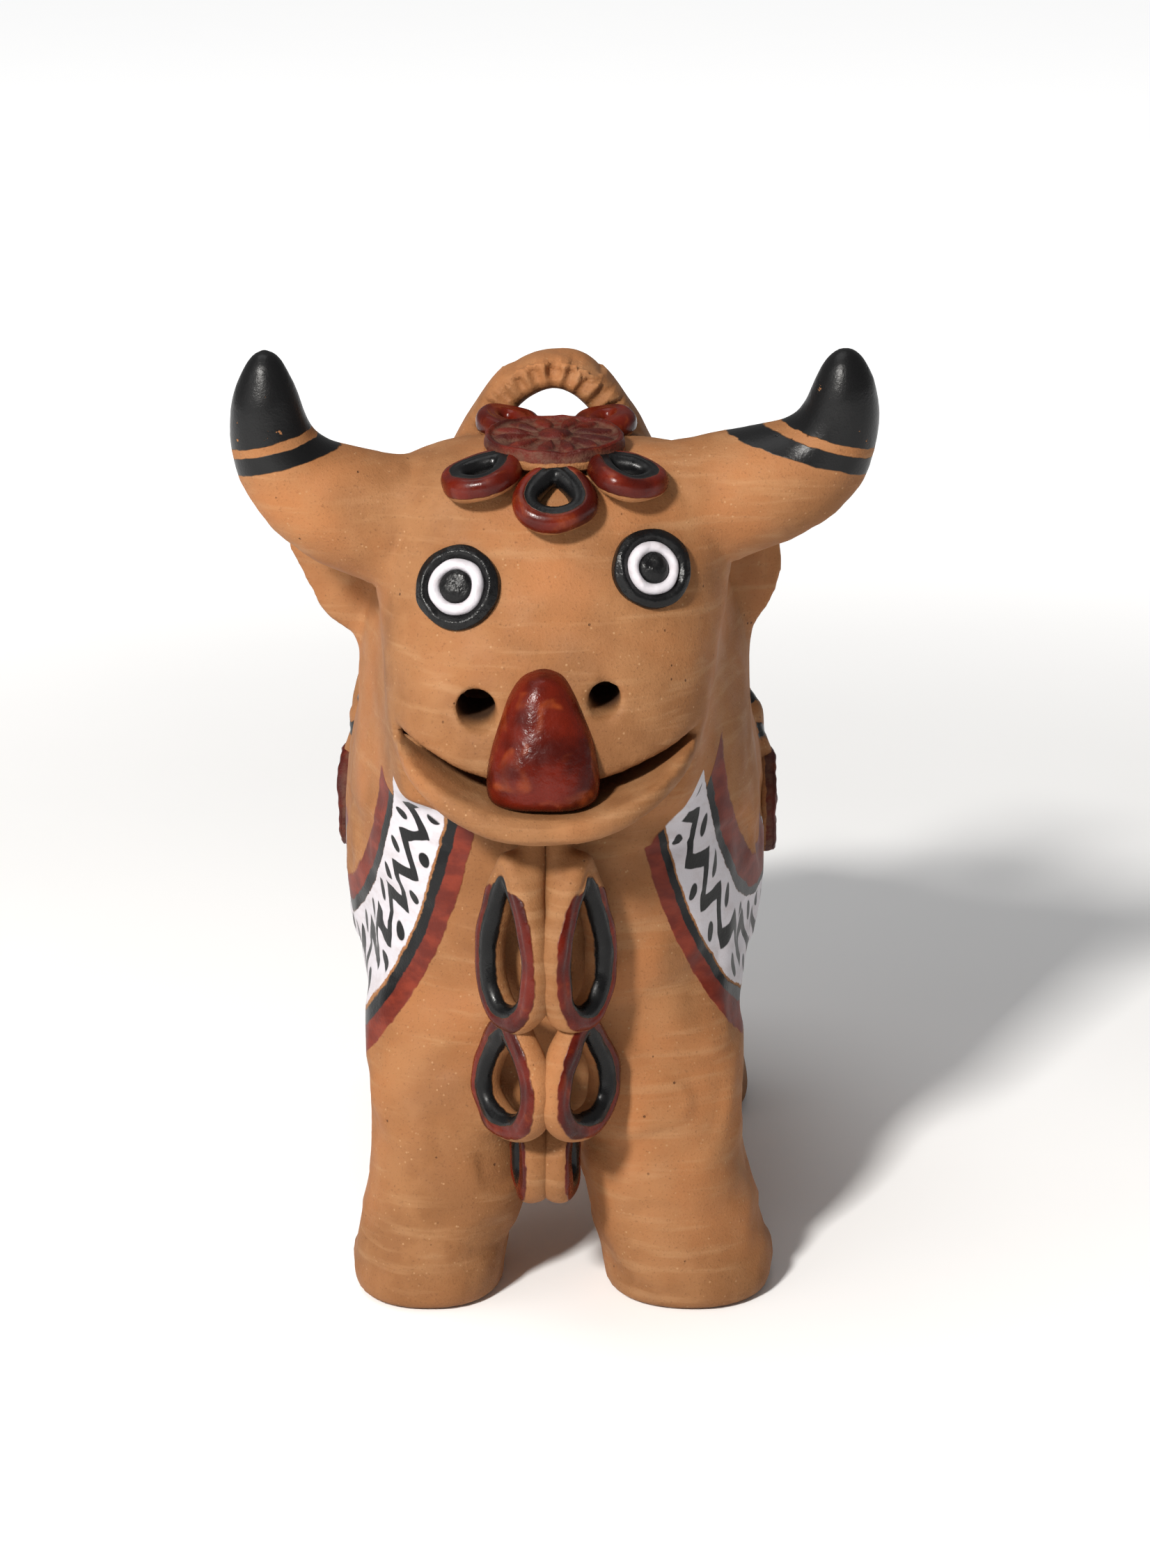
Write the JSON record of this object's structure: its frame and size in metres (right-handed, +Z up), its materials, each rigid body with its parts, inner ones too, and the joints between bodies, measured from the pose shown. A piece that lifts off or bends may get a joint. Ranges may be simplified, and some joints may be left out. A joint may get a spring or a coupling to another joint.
{
  "type": "clay bull figure",
  "caption": "Hollow fired-clay bull figure on stump legs, with curved horns, a strap handle, petalled rosettes, pinched coil loops and a raised tongue; ornament that rests on a flat surface.",
  "frame": {"origin": "centre of the bounding box, on the ground plane under the feet", "axes": "+Z up, the bull faces -Y, +X to its own left side"},
  "size_m": [0.1171, 0.1592, 0.1795],
  "materials": {
    "clay": "matte",
    "oxblood_glaze": "gloss",
    "black_glaze": "gloss",
    "white_slip": "satin"
  },
  "bodies": {
    "root": {"trunk": "clay", "head": "clay", "lower_jaw": "clay", "tongue": "oxblood_glaze", "horn_left": "clay", "horn_right": "clay", "ear_left": "clay", "ear_right": "clay", "eye_ring_left": "black_glaze", "eye_ring_right": "black_glaze", "eye_white_left": "white_slip", "eye_white_right": "white_slip", "eye_pupil_left": "black_glaze", "eye_pupil_right": "black_glaze", "handle": "clay", "forehead_rosette": "oxblood_glaze", "forehead_loop_left": "oxblood_glaze", "forehead_loop_middle": "oxblood_glaze", "forehead_loop_right": "oxblood_glaze", "forehead_loop_back_left": "oxblood_glaze", "forehead_loop_back_right": "oxblood_glaze", "chest_loop_upper_left": "oxblood_glaze", "chest_loop_upper_right": "oxblood_glaze", "chest_loop_middle_left": "oxblood_glaze", "chest_loop_middle_right": "oxblood_glaze", "chest_loop_lower_left": "oxblood_glaze", "chest_loop_lower_right": "oxblood_glaze", "flank_rosette_left": "oxblood_glaze", "flank_rosette_right": "oxblood_glaze", "back_strip": "clay", "leg_front_left": "clay", "leg_front_right": "clay", "leg_rear_left": "clay", "leg_rear_right": "clay", "tail": "clay"}
  },
  "joints": []
}
